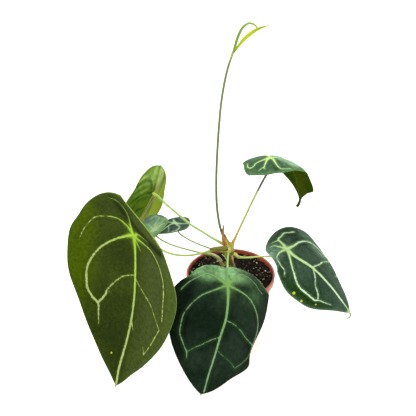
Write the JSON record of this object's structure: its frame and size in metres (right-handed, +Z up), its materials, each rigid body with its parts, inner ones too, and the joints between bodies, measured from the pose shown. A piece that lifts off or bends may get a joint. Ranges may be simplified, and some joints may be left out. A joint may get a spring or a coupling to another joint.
{
  "type": "potted anthurium forgetii",
  "caption": "Young aroid house plant in a tapered nursery pot: drooping velvety oval leaves with pale veins on thin stalks, and a tall thin flower stalk.",
  "frame": {"origin": "middle of the pot's flat bottom", "axes": "+Z up along the pot's axis and the flower stalk; +X to the right of the pictured view; +Y away from the viewer, so the pictured view looks along +Y"},
  "size_m": [0.3595, 0.2458, 0.4385],
  "materials": {
    "pot_plastic": "satin",
    "bark_mix": "matte",
    "crown": "matte",
    "leaf_olive": "velvet",
    "leaf_dark": "velvet",
    "leaf_underside": "satin",
    "petiole_green": "satin",
    "papery_brown": "matte",
    "spadix_green": "satin",
    "spathe_lime": "satin"
  },
  "bodies": {
    "root": {"pot": "pot_plastic", "soil": "bark_mix", "stem": "crown", "blade_a": "leaf_olive", "blade_b": "leaf_dark", "blade_c": "leaf_dark", "blade_d": "leaf_dark", "blade_e": "leaf_underside", "blade_f": "leaf_dark", "blade_g": "leaf_dark", "petiole_a": "petiole_green", "petiole_b": "petiole_green", "petiole_c": "petiole_green", "petiole_d": "petiole_green", "petiole_e": "petiole_green", "petiole_f": "petiole_green", "petiole_g": "petiole_green", "sheath_left": "papery_brown", "sheath_right": "papery_brown", "sheath_low": "papery_brown", "sheath_spear": "papery_brown", "peduncle": "petiole_green", "spadix": "spadix_green", "spathe": "spathe_lime"}
  },
  "joints": []
}
